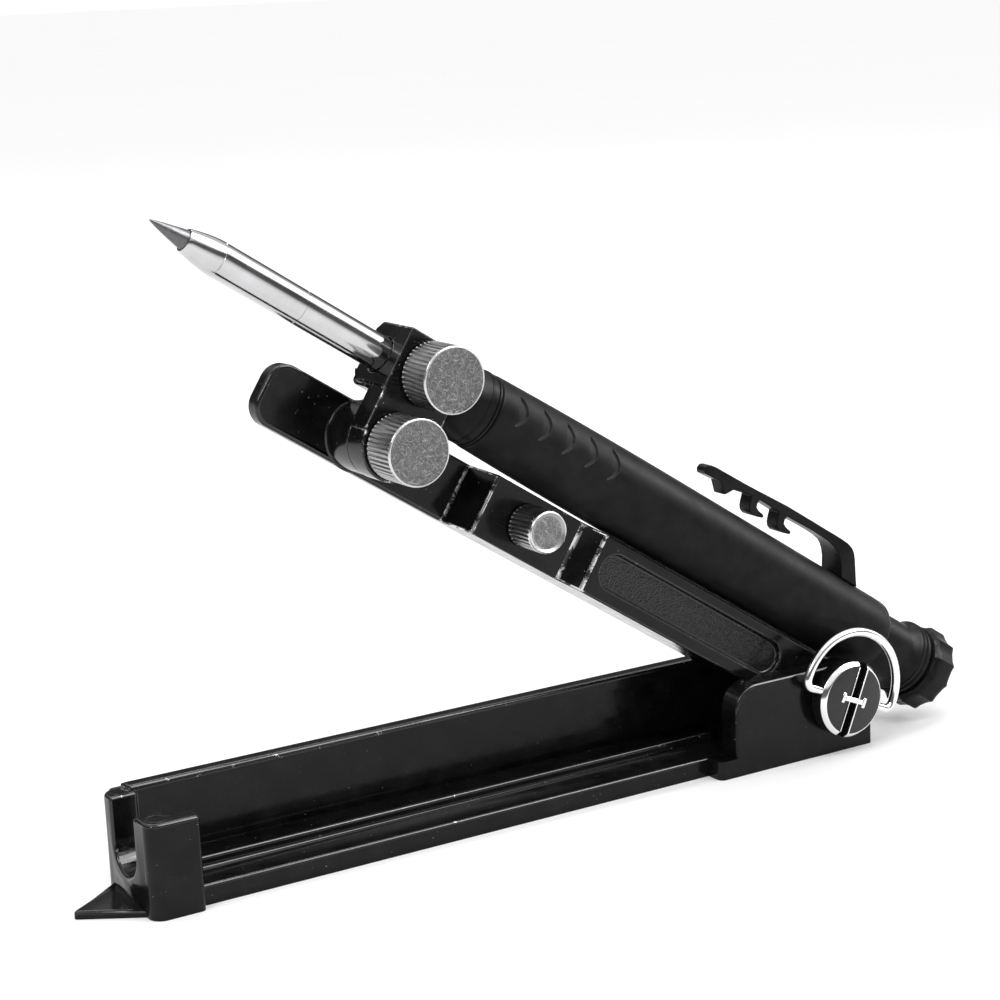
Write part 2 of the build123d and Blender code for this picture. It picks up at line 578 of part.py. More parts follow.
with BuildPart() as lead_tube:
    add(spun((SLEEVE_U[1], LEAD_TUBE_R[0]), (COLLET_U[0], LEAD_TUBE_R[0]), (COLLET_U[0], LEAD_TUBE_R[1]),
         (SLEEVE_U[1], LEAD_TUBE_R[1])))
finish(lead_tube, "lead_tube", 0x8F9296)

COLLAR_U = (-16.1, -11.6)
with BuildPart() as push_sleeve:
    collar_r = 6.2
    ring_groove = 0.3
    add(spun((SLEEVE_U[1], LEAD_TUBE_R[0]), (SLEEVE_U[1], SLEEVE_R), (COLLAR_U[1], SLEEVE_R),
         (COLLAR_U[1] - 1.2, SLEEVE_R + 0.45), (COLLAR_U[1] - 2.2, collar_r - 0.1), (COLLAR_U[1] - 2.4, collar_r),
         (COLLAR_U[1] - 3.0, collar_r), (COLLAR_U[1] - 3.0, collar_r - ring_groove),
         (COLLAR_U[1] - 3.4, collar_r - ring_groove), (COLLAR_U[1] - 3.4, collar_r), (COLLAR_U[0] + 0.3, collar_r),
         (COLLAR_U[0], collar_r - 0.4), (COLLAR_U[0], SPIGOT_R), (SPIGOT_U, SPIGOT_R), (SPIGOT_U, 2.6),
         (10.0, 2.6), (10.0, LEAD_TUBE_R[0])))
finish(push_sleeve, "push_sleeve", 0x1E1F22)

with BuildPart() as return_spring:
    spring_r = 3.3
    wire = 0.3
    spring_u = (SLEEVE_U[1] + PUSH_TRAVEL + wire + 0.1, BORE_STEP_U - wire - 0.05)
    with BuildLine():
        coil = Helix(pitch=(spring_u[1] - spring_u[0]) / 6, height=spring_u[1] - spring_u[0], radius=spring_r,
                     center=arm_plane(PEN_Y, spring_u[0], PEN_V).origin, direction=U_DIR)
    with BuildSketch(Plane(origin=coil @ 0, z_dir=coil % 0)):
        Circle(wire)
    sweep()
finish(return_spring, "return_spring", 0xA4A7AB)

CAP_SOCKET_R = SPIGOT_R + 0.06
INSERT_U = -18.7
SHARPENER_R = 3.1
with BuildPart() as fluted_cap:
    front_u, end_u = CAP_U[1], CAP_U[0]
    add(spun((front_u, CAP_SOCKET_R), (front_u, CAP_R - 0.6), (front_u - 0.9, CAP_R), (end_u + 0.5, CAP_R),
         (end_u, CAP_R - 0.4), (end_u, SHARPENER_R), (INSERT_U, SHARPENER_R),
         (INSERT_U, CAP_SOCKET_R)))
    with BuildSketch(Plane(arm_plane(PEN_Y, end_u - 1, PEN_V).origin, z_dir=U_DIR)):
        with PolarLocations(CAP_R + 2.35, FLUTES):
            Circle(3.0)
    extrude(amount=front_u - end_u + 2, mode=Mode.SUBTRACT)
finish(fluted_cap, "fluted_cap", 0x1A1B1D)

with BuildPart() as sharpener:
    add(spun((CAP_U[0], 1.7), (CAP_U[0], SHARPENER_R), (INSERT_U, SHARPENER_R), (INSERT_U, 0.4)))
    with BuildSketch(arm_plane(PEN_Y + SHARPENER_R, (CAP_U[0] + INSERT_U) / 2, PEN_V)):
        Rectangle(2.6, 0.7)
    extrude(amount=-SHARPENER_R, mode=Mode.SUBTRACT)
finish(sharpener, "sharpener", 0x8E9194)

with BuildPart() as sharpener_blade:
    with BuildSketch(arm_plane(PEN_Y + SHARPENER_R - 0.2, (CAP_U[0] + INSERT_U) / 2, PEN_V)):
        Rectangle(2.4, 0.4)
    extrude(amount=-(SHARPENER_R - 1.7))
finish(sharpener_blade, "sharpener_blade", 0xC4C6C9)
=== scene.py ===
"""Looks of the folding scriber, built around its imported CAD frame.

Points of the frame, the camera and the lamps are in metres. Outlines, radii and values named _MM are in
millimetres, and MM turns them into metres."""
import json
import math

import bmesh
import bpy
import numpy as np
from mathutils import Matrix, Vector

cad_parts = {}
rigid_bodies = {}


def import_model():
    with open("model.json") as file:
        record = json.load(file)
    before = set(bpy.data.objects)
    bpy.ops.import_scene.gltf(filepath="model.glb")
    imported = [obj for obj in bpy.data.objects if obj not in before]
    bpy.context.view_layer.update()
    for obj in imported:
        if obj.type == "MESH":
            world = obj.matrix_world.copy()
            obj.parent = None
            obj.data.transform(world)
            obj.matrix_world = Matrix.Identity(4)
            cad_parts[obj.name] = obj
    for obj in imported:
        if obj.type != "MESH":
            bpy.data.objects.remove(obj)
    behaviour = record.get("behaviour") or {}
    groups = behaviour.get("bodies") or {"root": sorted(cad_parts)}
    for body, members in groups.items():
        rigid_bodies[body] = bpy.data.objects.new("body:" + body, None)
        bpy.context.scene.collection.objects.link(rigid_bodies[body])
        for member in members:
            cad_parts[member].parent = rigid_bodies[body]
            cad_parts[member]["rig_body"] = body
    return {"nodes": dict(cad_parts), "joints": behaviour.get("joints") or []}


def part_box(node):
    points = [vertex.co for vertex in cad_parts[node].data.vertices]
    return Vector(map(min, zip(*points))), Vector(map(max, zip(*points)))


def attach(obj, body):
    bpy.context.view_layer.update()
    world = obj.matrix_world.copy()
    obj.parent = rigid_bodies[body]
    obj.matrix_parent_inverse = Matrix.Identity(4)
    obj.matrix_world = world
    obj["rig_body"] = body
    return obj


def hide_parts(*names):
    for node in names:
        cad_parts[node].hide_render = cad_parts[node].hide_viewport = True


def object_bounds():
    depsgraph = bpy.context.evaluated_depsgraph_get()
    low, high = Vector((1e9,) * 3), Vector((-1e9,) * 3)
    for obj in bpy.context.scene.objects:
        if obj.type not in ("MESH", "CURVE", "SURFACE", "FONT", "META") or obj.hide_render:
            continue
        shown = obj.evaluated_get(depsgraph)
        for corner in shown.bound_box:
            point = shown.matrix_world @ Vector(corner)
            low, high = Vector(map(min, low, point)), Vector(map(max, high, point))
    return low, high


MM = 0.001
BEVEL_SEGMENTS = 3
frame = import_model()
cad_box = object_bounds()
joints = {j["name"]: j for j in frame["joints"]}
nodes = frame["nodes"]

# ---- the arm's own frame: U along the arm, V across it, Y as in the CAD frame ----
U = Vector(joints["pencil_slide"]["axis"])
Y = Vector((0, 1, 0))
V = U.cross(Y) * -1
HINGE = Vector(joints["arm_hinge"]["pos_m"])
ARM_TILT = math.atan2(U.z, -U.x)
if V.z < 0:
    V = -V


def local(node):
    """A CAD node's points as (u, v, y) from the hinge, in metres."""
    points = np.array([v.co for v in nodes[node].data.vertices], float).reshape(-1, 3) - np.array(HINGE)
    return np.stack([points @ np.array(U), points @ np.array(V), points[:, 1]], axis=1)


def span(node):
    """(lowest, highest) of a CAD node in (u, v, y)."""
    points = local(node)
    return points.min(0), points.max(0)


def at(u, v, y):
    """A point in the shared frame from arm coordinates."""
    return Vector((HINGE.x, 0, HINGE.z)) + U * u + V * v + Y * y


TUBE_LOW, TUBE_HIGH = span("nose_tube")
PEN_V = (TUBE_LOW[1] + TUBE_HIGH[1]) / 2
PEN_Y = (TUBE_LOW[2] + TUBE_HIGH[2]) / 2
PEN_ORIGIN = at(0, PEN_V, PEN_Y)


# ================= mesh helpers =================

def new_object(name, verts, faces, materials, smooth=True):
    mesh = bpy.data.meshes.new(name)
    mesh.from_pydata([tuple(v) for v in verts], [], faces)
    mesh.polygons.foreach_set("use_smooth", [smooth] * len(mesh.polygons))
    for material in materials:
        mesh.materials.append(material)
    mesh.update()
    piece = bpy.data.objects.new(name, mesh)
    bpy.context.scene.collection.objects.link(piece)
    return piece


def stand_for(piece, node):
    """The piece replaces a CAD node, rides on its body, and the node is hidden."""
    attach(piece, nodes[node]["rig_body"])
    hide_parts(node)
    return piece


def sharpen(piece, degrees):
    piece.data.set_sharp_from_angle(angle=math.radians(degrees))


def copy_of(node, name, materials, bevel_mm, bevel_material=None, angle=28, share=None):
    """A CAD node's shape with its hard edges rounded. share(point) gives an edge its part of the rounding."""
    mesh = nodes[node].data.copy()
    mesh.name = name
    bm = bmesh.new()
    bm.from_mesh(mesh)
    bmesh.ops.remove_doubles(bm, verts=bm.verts, dist=0.002 * MM)
    bmesh.ops.dissolve_limit(bm, angle_limit=math.radians(0.8), verts=bm.verts, edges=bm.edges)
    if share:
        weight = bm.edges.layers.float.new("bevel_weight_edge")
        for edge in bm.edges:
            if len(edge.link_faces) == 2 and edge.calc_face_angle() > math.radians(angle):
                edge[weight] = share((edge.verts[0].co + edge.verts[1].co) / 2)
    bm.to_mesh(mesh)
    bm.free()
    mesh.materials.clear()
    for material in materials:
        mesh.materials.append(material)
    mesh.polygons.foreach_set("use_smooth", [True] * len(mesh.polygons))
    mesh.polygons.foreach_set("material_index", [0] * len(mesh.polygons))
    piece = bpy.data.objects.new(name, mesh)
    bpy.context.scene.collection.objects.link(piece)
    sharpen(piece, angle)
    bevel = piece.modifiers.new("rounded_edges", "BEVEL")
    bevel.width = bevel_mm * MM
    bevel.segments = BEVEL_SEGMENTS
    bevel.limit_method = "WEIGHT" if share else "ANGLE"
    bevel.angle_limit = math.radians(angle)
    bevel.miter_outer = "MITER_ARC"
    bevel.use_clamp_overlap = False
    bevel.harden_normals = True
    if bevel_material is not None:
        bevel.material = bevel_material
    return piece


def lathe(name, profile, materials, origin=PEN_ORIGIN, axis=U, start=V, turns=96, shape=None):
    """Spins an outline of (along, radius) or (along, radius, slot) in mm about an axis. The slot is the material
    of the stretch that begins there. shape(along, turn, radius) may change the radius. A radius of 0 is a pole."""
    side = axis.cross(start)
    verts, faces, slots = [], [], []
    rings = []
    for along, radius, *_ in profile:
        if radius == 0:
            rings.append([len(verts)])
            verts.append(origin + axis * along * MM)
            continue
        ring = []
        for k in range(turns):
            turn = 2 * math.pi * k / turns
            r = shape(along, turn, radius) if shape else radius
            ring.append(len(verts))
            verts.append(origin + (axis * along + (start * math.cos(turn) + side * math.sin(turn)) * r) * MM)
        rings.append(ring)
    pairs = list(zip(rings, rings[1:] + rings[:1]))
    for (a, b), point in zip(pairs, profile):
        before = len(faces)
        for k in range(turns):
            n = (k + 1) % turns
            if len(a) == 1 and len(b) == 1:
                continue
            if len(a) == 1:
                faces.append((a[0], b[n], b[k]))
            elif len(b) == 1:
                faces.append((a[k], a[n], b[0]))
            else:
                faces.append((a[k], a[n], b[n], b[k]))
        slots += [point[2] if len(point) > 2 else 0] * (len(faces) - before)
    piece = new_object(name, verts, faces, materials)
    piece.data.polygons.foreach_set("material_index", slots)
    bm = bmesh.new()
    bm.from_mesh(piece.data)
    bmesh.ops.recalc_face_normals(bm, faces=bm.faces)
    bm.to_mesh(piece.data)
    bm.free()
    return piece


def arc(centre, radius, start_deg, end_deg, steps):
    """Points of a circular stretch of an outline."""
    return [(centre[0] + radius * math.cos(math.radians(a)), centre[1] + radius * math.sin(math.radians(a)))
            for a in np.linspace(start_deg, end_deg, steps)]


# ================= materials =================

class Shader:
    """A short way to write a node material."""

    def __init__(self, name):
        self.material = bpy.data.materials.new(name)
        self.material.use_nodes = True
        self.tree = self.material.node_tree
        self.main = self.tree.nodes["Principled BSDF"]
        self.coord = self.tree.nodes.new("ShaderNodeTexCoord")

    def set(self, **values):
        for key, value in values.items():
            self.main.inputs[key.replace("_", " ")].default_value = value
        return self

    def node(self, kind, **inputs):
        made = self.tree.nodes.new(kind)
        for key, value in inputs.items():
            made.inputs[key.replace("_", " ")].default_value = value
        return made

    def link(self, out, into):
        self.tree.links.new(out, into)

    def place(self, scale=(1, 1, 1), rotation=(0, 0, 0), location=(0, 0, 0)):
        """Object coordinates moved to a place, turned and then divided finely or coarsely; returns the socket."""
        mapping = self.node("ShaderNodeMapping")
        mapping.vector_type = "TEXTURE"
        mapping.inputs["Scale"].default_value = [1 / s for s in scale]
        mapping.inputs["Rotation"].default_value = rotation
        mapping.inputs["Location"].default_value = location
        self.link(self.coord.outputs["Object"], mapping.inputs["Vector"])
        return mapping.outputs["Vector"]

    def noise(self, scale, detail=3.0, rough=0.55, vector=None, distortion=0.0):
        made = self.node("ShaderNodeTexNoise", Scale=scale, Detail=detail, Roughness=rough, Distortion=distortion)
        self.link(vector or self.coord.outputs["Object"], made.inputs["Vector"])
        return made.outputs["Fac"]

    def spread(self, value, low, high, to_low, to_high):
        """Maps a range to another, clamped."""
        made = self.node("ShaderNodeMapRange")
        made.clamp = True
        for key, number in (("From Min", low), ("From Max", high), ("To Min", to_low), ("To Max", to_high)):
            made.inputs[key].default_value = number
        self.link(value, made.inputs["Value"])
        return made.outputs["Result"]

    def math(self, operation, a, b=None):
        made = self.node("ShaderNodeMath")
        made.operation = operation
        for socket, value in zip(made.inputs, (a, b)):
            if value is None:
                continue
            if isinstance(value, (int, float)):
                socket.default_value = value
            else:
                self.link(value, socket)
        return made.outputs["Value"]

    def mix(self, factor, a, b):
        made = self.tree.nodes.new("ShaderNodeMix")
        made.data_type = "RGBA"
        self.link(factor, made.inputs["Factor"])
        for socket, value in ((made.inputs[6], a), (made.inputs[7], b)):
            if isinstance(value, tuple):
                socket.default_value = (*value, 1)
            else:
                self.link(value, socket)
        return made.outputs[2]

    def bump(self, height, strength, distance_mm, under=None):
        made = self.node("ShaderNodeBump", Strength=strength, Distance=distance_mm * MM)
        self.link(height, made.inputs["Height"])
        if under is not None:
            self.link(under, made.inputs["Normal"])
        return made.outputs["Normal"]

    def to(self, socket, value):
        self.link(value, self.main.inputs[socket])
        return self


def enamel(name, shade=(0.0025, 0.006), gloss=(0.10, 0.22), pebble=0.10, level=0.18):
    """Glossy black enamel over a casting: orange peel, faint mottling and a few pale specks of dust."""
    s = Shader(name)
    mottle = s.noise(260, 4)
    specks = s.spread(s.noise(3200, 0.0, 0.4), 0.86, 0.875, 0, 1)
    colour = s.mix(s.spread(mottle, 0.35, 0.65, 0, 1), (shade[0],) * 3, (shade[1],) * 3)
    s.to("Base Color", s.mix(specks, colour, (0.16, 0.16, 0.165)))
    s.to("Roughness", s.spread(s.noise(420, 5), 0.3, 0.7, *gloss))
    peel = s.bump(s.noise(1100, 3), pebble, 0.035)
    s.to("Normal", s.bump(s.noise(190, 4), pebble * 1.5, 0.14, peel))
    s.set(Specular_IOR_Level=level)
    return s.material


def worn_edge(name, everywhere, at_step=0.0, level=0.5):
    """Rounded edge of an enamelled piece, rubbed bright in broken stretches.
    at_step adds wear where the arm steps up to its thick block."""
    s = Shader(name)
    along = s.node("ShaderNodeVectorMath")
    along.operation = "DOT_PRODUCT"
    s.link(s.coord.outputs["Object"], along.inputs[0])
    along.inputs[1].default_value = tuple(U)
    u = s.math("SUBTRACT", along.outputs["Value"], U.dot(HINGE))
    wear = [s.spread(s.math("ABSOLUTE", s.math("SUBTRACT", u, step * MM)), reach * MM, (reach + 1) * MM, at_step, 0)
            for step, reach in STEPS]
    patches = s.math("ADD", s.noise(520, 7, 0.75), s.math("ADD", s.math("MAXIMUM", *wear), everywhere))
    rubbed = s.spread(patches, 0.635, 0.70, 0, 1)
    s.to("Base Color", s.mix(rubbed, (0.004,) * 3, (0.60, 0.60, 0.61)))
    s.to("Metallic", rubbed)
    s.to("Roughness", s.spread(s.noise(1200, 4), 0.3, 0.7, 0.12, 0.30))
    s.to("Normal", s.bump(s.noise(900, 4), 0.22, 0.06))
    s.set(Specular_IOR_Level=level)
    return s.material


def satin_plastic(name, shade=(0.004, 0.008), gloss=(0.34, 0.46), grain=0.12, level=0.10):
    """Moulded black plastic: fine spark-eroded grain and faint handling marks."""
    s = Shader(name)
    s.to("Base Color", s.mix(s.spread(s.noise(300, 4), 0.35, 0.65, 0, 1), (shade[0],) * 3, (shade[1],) * 3))
    s.to("Roughness", s.spread(s.noise(500, 5), 0.3, 0.7, *gloss))
    s.to("Normal", s.bump(s.noise(4200, 3), grain, 0.03))
    s.set(Specular_IOR_Level=level)
    return s.material


def along_arm(s, stretch, across):
    """Coordinates with the arm's length stretched, for marks that run along it."""
    return s.place(scale=(stretch, across, across), rotation=(0, ARM_TILT, 0))


def chrome(name, base=0.74, gloss=(0.06, 0.15), streak=0.05):
    """Bright plating over a drawn tube, with faint lengthways draw marks."""
    s = Shader(name)
    marks = s.noise(1.0, 5, 0.6, along_arm(s, 30, 2600))
    cloud = s.noise(220, 4)
    s.to("Base Color", s.mix(s.spread(cloud, 0.3, 0.7, 0, 1), (base,) * 3, (base + 0.1, base + 0.1, base + 0.11)))
    s.to("Roughness", s.spread(cloud, 0.3, 0.7, *gloss))
    s.to("Normal", s.bump(marks, streak, 0.02))
    s.set(Metallic=1.0)
    return s.material


def scratched_steel(name, base=(0.11, 0.42), gloss=(0.30, 0.50), depth=0.8):
    """Satin face with short scratches in every direction."""
    s = Shader(name)
    layers = []
    for turn in (0.35, 0.95, 1.6, 2.2, 2.85):
        vector = s.place(scale=(700, 700, 7500), rotation=(0, turn, 0), location=(turn, turn * 2, 0))
        layers.append(s.noise(1.0, 3, 0.6, vector, 0.15))
    height = layers[0]
    for layer in layers[1:]:
        height = s.math("MAXIMUM", height, layer)
    lines = s.spread(height, 0.56, 0.74, 0, 1)
    s.to("Base Color", s.mix(lines, (base[0],) * 3, (base[1],) * 3))
    s.to("Roughness", s.spread(s.noise(900, 4), 0.3, 0.7, *gloss))
    s.to("Normal", s.bump(lines, depth, 0.03))
    s.set(Metallic=1.0)
    return s.material


def turned_steel(name, base=0.55, gloss=(0.22, 0.38)):
    s = Shader(name)
    s.to("Base Color", s.mix(s.noise(800, 4), (base * 0.8,) * 3, (base * 1.15,) * 3))
    s.to("Roughness", s.spread(s.noise(700, 4), 0.3, 0.7, *gloss))
    s.to("Normal", s.bump(s.noise(1.0, 4, 0.6, s.place(scale=(300, 4200, 300))), 0.15, 0.02))
    s.set(Metallic=1.0)
    return s.material


def brass(name):
    s = Shader(name)
    s.to("Base Color", s.mix(s.noise(500, 4), (0.48, 0.33, 0.13), (0.66, 0.49, 0.22)))
    s.to("Roughness", s.spread(s.noise(600, 4), 0.3, 0.7, 0.22, 0.4))
    s.to("Normal", s.bump(s.noise(2600, 3), 0.1, 0.02))
    s.set(Metallic=1.0)
    return s.material


def graphite(name):
    """Sharpened lead: dark, a little metallic, with turning marks around the point."""
    s = Shader(name)
    s.to("Base Color", s.mix(s.noise(1800, 5), (0.07, 0.07, 0.074), (0.16, 0.16, 0.168)))
    s.to("Roughness", s.spread(s.noise(1500, 4), 0.3, 0.7, 0.28, 0.42))
    s.to("Normal", s.bump(s.noise(1.0, 3, 0.6, along_arm(s, 5200, 500)), 0.25, 0.02))
    s.set(Metallic=0.75)
    return s.material


def brushed_face(name):
    """Black face of the screw head, brushed outward from its centre."""
    s = Shader(name)
    turned = s.place(rotation=(math.pi / 2, 0, 0), location=HINGE)
    angle = s.node("ShaderNodeTexGradient")
    angle.gradient_type = "RADIAL"
    s.link(turned, angle.inputs["Vector"])
    rays = s.node("ShaderNodeTexNoise", Scale=90.0, Detail=4.0, Roughness=0.7)
    rays.noise_dimensions = "1D"
    s.link(angle.outputs["Fac"], rays.inputs["W"])
    s.to("Base Color", s.mix(rays.outputs["Fac"], (0.006,) * 3, (0.036, 0.036, 0.038)))
    s.to("Roughness", s.spread(rays.outputs["Fac"], 0.3, 0.7, 0.30, 0.48))
    s.to("Normal", s.bump(rays.outputs["Fac"], 0.35, 0.03))
    s.set(Metallic=0.35)
    return s.material


def cast_grain(name):
    """Coarse sparkling grain on the floor of the arm's recess."""
    s = Shader(name)
    cells = s.node("ShaderNodeTexVoronoi", Scale=3000.0)
    s.link(s.coord.outputs["Object"], cells.inputs["Vector"])
    s.to("Base Color", s.mix(s.noise(900, 4), (0.002,) * 3, (0.007,) * 3))
    s.to("Roughness", s.spread(s.noise(1500, 3), 0.3, 0.7, 0.16, 0.34))
    s.to("Normal", s.bump(cells.outputs["Distance"], 0.6, 0.24))
    s.set(Coat_Weight=0.12, Coat_Roughness=0.12, Specular_IOR_Level=0.3)
    return s.material


# Where the arm steps up and how far the wear reaches, both in mm.
STEPS = ((53.9, 2.2), (73.5, 0.7))
ENAMEL = enamel("black_enamel")
BASE_EDGE = worn_edge("base_edge", 0.0)
ARM_EDGE = worn_edge("arm_edge", 0.0, 0.16)
HOLDER_EDGE = worn_edge("holder_edge", 0.06)
GRAIN = cast_grain("recess_grain")
PLASTIC = satin_plastic("satin_plastic")
GRIP_PLASTIC = satin_plastic("grip_plastic", (0.005, 0.010), (0.38, 0.52), 0.30)
CAP_PLASTIC = satin_plastic("cap_plastic", (0.005, 0.010), (0.30, 0.42), 0.08)
CHROME = chrome("tube_chrome", 0.46)
RING_CHROME = chrome("ring_chrome", 0.80, (0.04, 0.10), 0.02)
KNOB_FACE = scratched_steel("knob_face")
KNOB_SIDE = turned_steel("knob_side", 0.34, (0.26, 0.42))
KNOB_RIM = turned_steel("knob_rim", 0.62, (0.16, 0.32))
STEEL = turned_steel("plain_steel")
BRASS = brass("brass")
LEAD = graphite("graphite")
FACE_PLATE = brushed_face("screw_face_black")
HEAD_SIDE = enamel("screw_side_black", (0.004, 0.009), (0.2, 0.3), 0.05)
FIBRE = satin_plastic("washer_fibre", (0.72, 0.80), (0.45, 0.6), 0.05, 0.4)
GREY_PLASTIC = satin_plastic("sharpener_plastic", (0.10, 0.14), (0.4, 0.5), 0.08, 0.4)
THUMB_FACE = scratched_steel("thumb_face", (0.14, 0.42))
CLIP_PLASTIC = satin_plastic("clip_plastic", (0.004, 0.008), (0.26, 0.38), 0.06)


def dress(node, material):
    """A CAD node that stays gets a finished material."""
    mesh = nodes[node].data
    mesh.materials.clear()
    mesh.materials.append(material)


for plain, finish in (("hinge_insert", BRASS), ("screw_washer", STEEL), ("hinge_washer_front", FIBRE),
                      ("hinge_washer_rear", FIBRE), ("pivot_stud", STEEL), ("clamp_stud", STEEL),
                      ("clamp_pad", BRASS), ("collet", BRASS), ("lead_tube", STEEL), ("return_spring", STEEL),
                      ("sharpener_blade", STEEL)):
    dress(plain, finish)


# ================= castings =================

UNDERSIDE_MM, REAR_FACE_MM, EARS_MM = 0.9, 7.8, -26      # limits of the rounded edges in z, y and x


def base_rounding(point):
    """The underside, the rear face and the ears keep the casting's own small edges; the rest is rounded."""
    x, y, z = point / MM
    return 1.0 if z > UNDERSIDE_MM and y < REAR_FACE_MM and x < EARS_MM else 0.0


ARM_LOW, ARM_HIGH = span("arm_bar")
ARM_V_MM = (ARM_LOW[1] / MM, ARM_HIGH[1] / MM)
THIN_BAR_MM = 76
TAB_END_MM = ARM_HIGH[0] / MM - 3.3
NEAR_MM = 0.05
OUTLINE_SHARE, OTHER_SHARE = 0.6, 0.36


def arm_rounding(point):
    """The outline of the thin bar and its end tab is rounded most, every other edge of the arm less."""
    u, v = (point - HINGE).dot(U) / MM, (point - HINGE).dot(V) / MM
    on_outline = any(abs(v - side) < NEAR_MM for side in ARM_V_MM) or u > TAB_END_MM
    return OUTLINE_SHARE if u > THIN_BAR_MM and on_outline else OTHER_SHARE


base = stand_for(copy_of("base_channel", "cast_base", [ENAMEL, BASE_EDGE], 0.5, bevel_material=1,
                         share=base_rounding), "base_channel")
arm = stand_for(copy_of("arm_bar", "cast_arm", [ENAMEL, ARM_EDGE, GRAIN], 1.0, bevel_material=1,
                        share=arm_rounding), "arm_bar")
stand_for(copy_of("holder_bracket", "holder_casting", [ENAMEL, HOLDER_EDGE], 0.3, bevel_material=1),
          "holder_bracket")

RECESS_DEPTH_MM = 0.9
RECESS_FLOOR_MM = ARM_LOW[2] / MM + RECESS_DEPTH_MM
FACES_FRONT = -0.9
for face in arm.data.polygons:
    if abs(face.center.y / MM - RECESS_FLOOR_MM) < NEAR_MM and face.normal.y < FACES_FRONT:
        face.material_index = 2

UPRIGHT, LEVEL = 0.05, 0.98
for face in base.data.polygons:
    if UPRIGHT < abs(face.normal.z) < LEVEL:
        face.material_index = 1


def pin_mark(name, x, y, z, radius):
    """Raised ring that a mould's ejector pin leaves on a casting."""
    profile = [(-0.05, radius - 0.22), (0.04, radius - 0.16), (0.075, radius), (0.04, radius + 0.16),
               (-0.05, radius + 0.22)]
    piece = lathe(name, profile, [ENAMEL], Vector((x, y, z)) * MM, Vector((0, 0, 1)), Vector((1, 0, 0)), 64)
    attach(piece, nodes["base_channel"]["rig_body"])


POST_FROM_POINT_MM = 8.28
POST_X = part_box("base_channel")[0][0] / MM + POST_FROM_POINT_MM
pin_mark("pin_mark_rear", POST_X + 2.35, 5.9, 14.3, 1.5)
pin_mark("pin_mark_front", POST_X + 2.2, -6.9, 13.9, 1.45)

# ================= knobs =================

FRONT = Vector((0, -1, 0))


def knurl(grooves, depth, first, last, fade=0.25):
    """Straight knurl with rounded lands and V grooves between two heights."""
    def shape(along, turn, radius):
        if not first <= along <= last:
            return radius
        phase = (turn * grooves / (2 * math.pi)) % 1.0
        groove = max(0.0, 1 - abs(phase - 0.5) / 0.30)
        run_out = min(1.0, (along - first) / fade, (last - along) / fade)
        return radius - depth * run_out * math.sin(groove * math.pi / 2)
    return shape


def knob(node, name, grooves):
    low, high = span(node)
    centre = (low + high) / 2
    length = (high[2] - low[2]) / MM
    radius = (high[0] - low[0]) / 2 / MM
    rim = 0.22
    profile = [(0, 0), (0, radius - 0.55), (0.12, radius - 0.28), (0.4, radius), (0.65, radius),
               (length - 0.7, radius), (length - 0.45, radius), (length - rim, radius, 1),
               (length - rim * 0.5, radius - 0.04, 1), (length - 0.03, radius - 0.12, 1),
               (length, radius - 0.20, 1), (length - 0.03, radius - 0.27, 2), (length - 0.05, radius - 1.2, 2),
               (length - 0.02, 0)]
    piece = lathe(name, profile, [KNOB_SIDE, KNOB_RIM, KNOB_FACE], at(centre[0], centre[1], high[2]), FRONT, V,
                  grooves * 10, knurl(grooves, 0.27, 0.4, length - 0.4))
    sharpen(piece, 50)
    stand_for(piece, node)


knob("pivot_knob", "pivot_knob_knurled", 44)
knob("clamp_knob", "clamp_knob_knurled", 44)


def thumbscrew():
    low, high = span("thumbscrew")
    centre = (low + high) / 2
    radius = (high[0] - low[0]) / 2 / MM
    length = 6.2
    shank = (high[2] - low[2]) / MM - length
    profile = [(-shank, 0), (-shank, 1.2), (-shank + 0.3, 1.5), (0, 1.5), (0, radius - 0.4), (0.3, radius),
               (0.55, radius), (length - 0.95, radius), (length - 0.7, radius, 1), (length - 0.32, radius - 0.03, 1),
               (length - 0.12, radius - 0.10, 1), (length, radius - 0.24, 1), (length - 0.05, radius - 0.38, 0),
               (length - 0.28, radius - 0.62, 0), (length - 0.36, radius - 0.85, 2), (length - 0.33, radius - 1.6, 2),
               (length - 0.30, 0)]
    piece = lathe("thumbscrew_knurled", profile, [KNOB_SIDE, KNOB_RIM, THUMB_FACE],
                  at(centre[0], centre[1], low[2]) - FRONT * length * MM, FRONT, V, 300,
                  knurl(30, 0.26, 0.3, length - 0.7))
    sharpen(piece, 50)
    stand_for(piece, "thumbscrew")


thumbscrew()

# ================= hinge screw and ring =================

RING_LINE = Vector(joints["d_ring_flip"]["axis"])
RING_AT = Vector(joints["d_ring_flip"]["pos_m"])
SLOT_LINE = RING_LINE.cross(Vector((0, 1, 0)))
if SLOT_LINE.z < 0:
    SLOT_LINE = -SLOT_LINE


